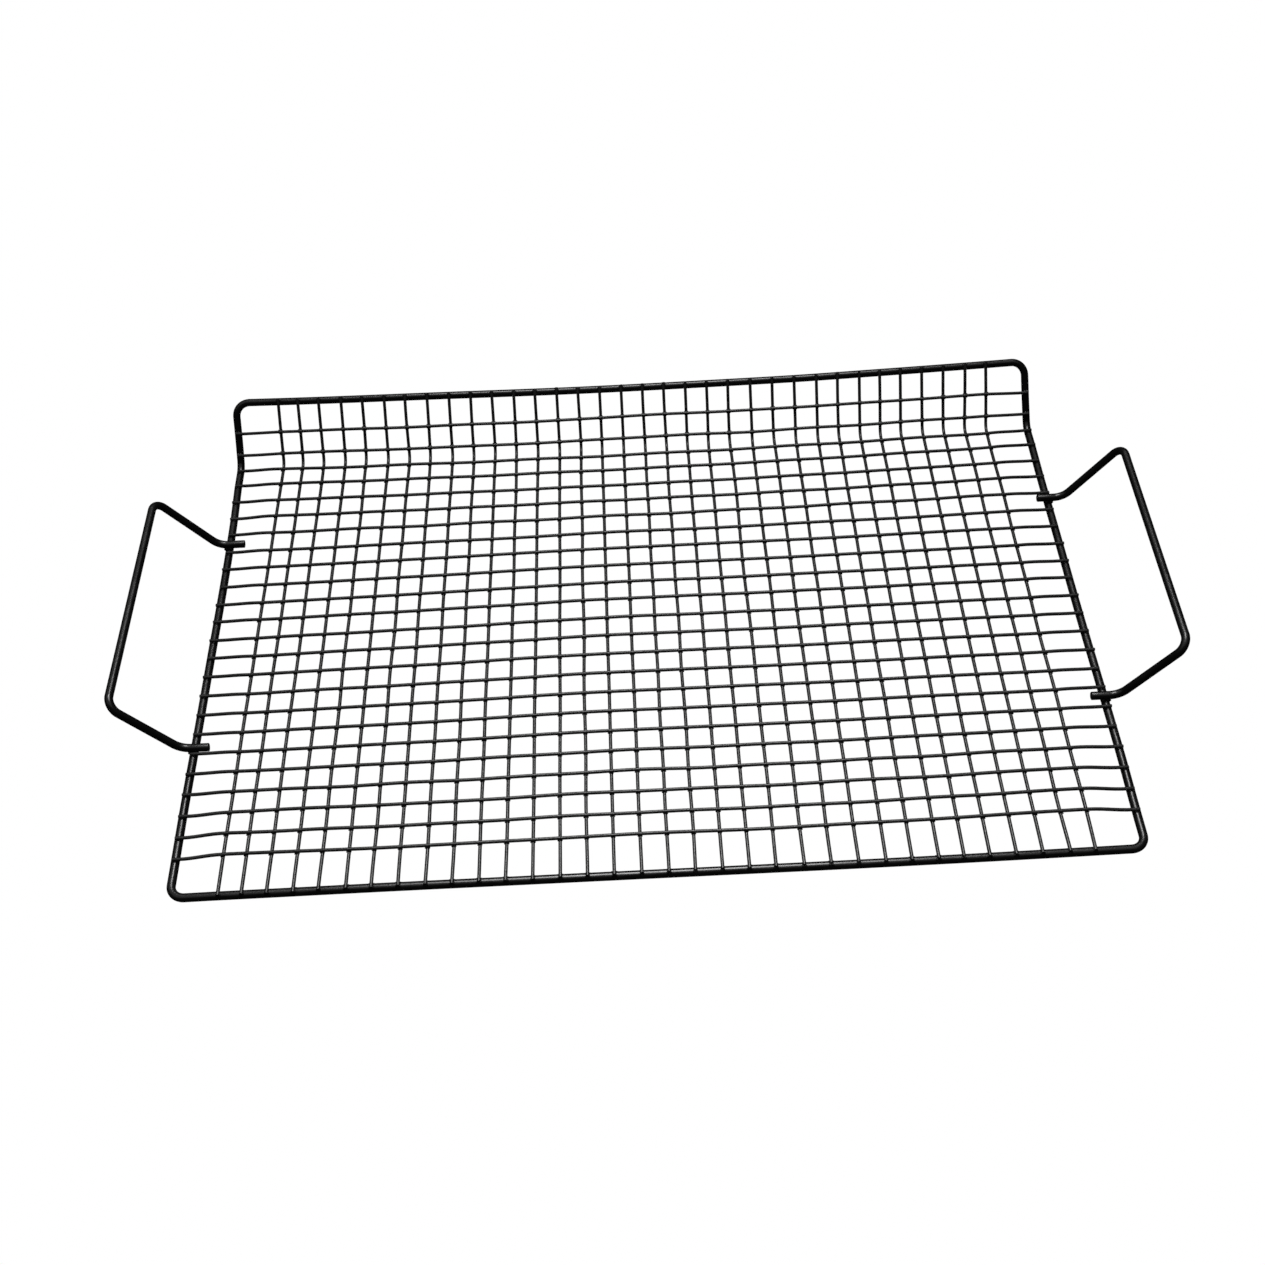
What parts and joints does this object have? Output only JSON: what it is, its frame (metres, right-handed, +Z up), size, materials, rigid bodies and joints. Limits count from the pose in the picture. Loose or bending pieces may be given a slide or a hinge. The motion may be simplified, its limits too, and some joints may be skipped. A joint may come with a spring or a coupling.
{
  "type": "grill basket",
  "caption": "Flat rectangular welded-wire grill tray on a round-rod rim, with its back edge folded up as a lip and two raised rod handles at the sides.",
  "frame": {"origin": "centre of the footprint, on the surface that the rim rests on", "axes": "+X along the tray to its right handle, +Y to the raised back lip, +Z up"},
  "size_m": [0.5364, 0.3201, 0.0459],
  "materials": {
    "coated_rod": "satin black baked coating on steel rod",
    "coated_wire": "satin black baked coating on steel wire"
  },
  "bodies": {
    "root": {"rim_frame": "coated_rod", "handle_left": "coated_rod", "handle_right": "coated_rod", "cross_wire_01": "coated_wire", "cross_wire_02": "coated_wire", "cross_wire_03": "coated_wire", "cross_wire_04": "coated_wire", "cross_wire_05": "coated_wire", "cross_wire_06": "coated_wire", "cross_wire_07": "coated_wire", "cross_wire_08": "coated_wire", "cross_wire_09": "coated_wire", "cross_wire_10": "coated_wire", "cross_wire_11": "coated_wire", "cross_wire_12": "coated_wire", "cross_wire_13": "coated_wire", "cross_wire_14": "coated_wire", "cross_wire_15": "coated_wire", "cross_wire_16": "coated_wire", "cross_wire_17": "coated_wire", "cross_wire_18": "coated_wire", "cross_wire_19": "coated_wire", "cross_wire_20": "coated_wire", "cross_wire_21": "coated_wire", "cross_wire_22": "coated_wire", "cross_wire_23": "coated_wire", "long_wire_01": "coated_wire", "long_wire_02": "coated_wire", "long_wire_03": "coated_wire", "long_wire_04": "coated_wire", "long_wire_05": "coated_wire", "long_wire_06": "coated_wire", "long_wire_07": "coated_wire", "long_wire_08": "coated_wire", "long_wire_09": "coated_wire", "long_wire_10": "coated_wire", "long_wire_11": "coated_wire", "long_wire_12": "coated_wire", "long_wire_13": "coated_wire", "long_wire_14": "coated_wire", "long_wire_15": "coated_wire", "long_wire_16": "coated_wire", "long_wire_17": "coated_wire", "long_wire_18": "coated_wire", "long_wire_19": "coated_wire", "long_wire_20": "coated_wire", "long_wire_21": "coated_wire", "long_wire_22": "coated_wire", "long_wire_23": "coated_wire", "long_wire_24": "coated_wire", "long_wire_25": "coated_wire", "long_wire_26": "coated_wire", "long_wire_27": "coated_wire", "long_wire_28": "coated_wire", "long_wire_29": "coated_wire", "long_wire_30": "coated_wire", "long_wire_31": "coated_wire", "long_wire_32": "coated_wire", "long_wire_33": "coated_wire", "long_wire_34": "coated_wire"}
  },
  "joints": []
}
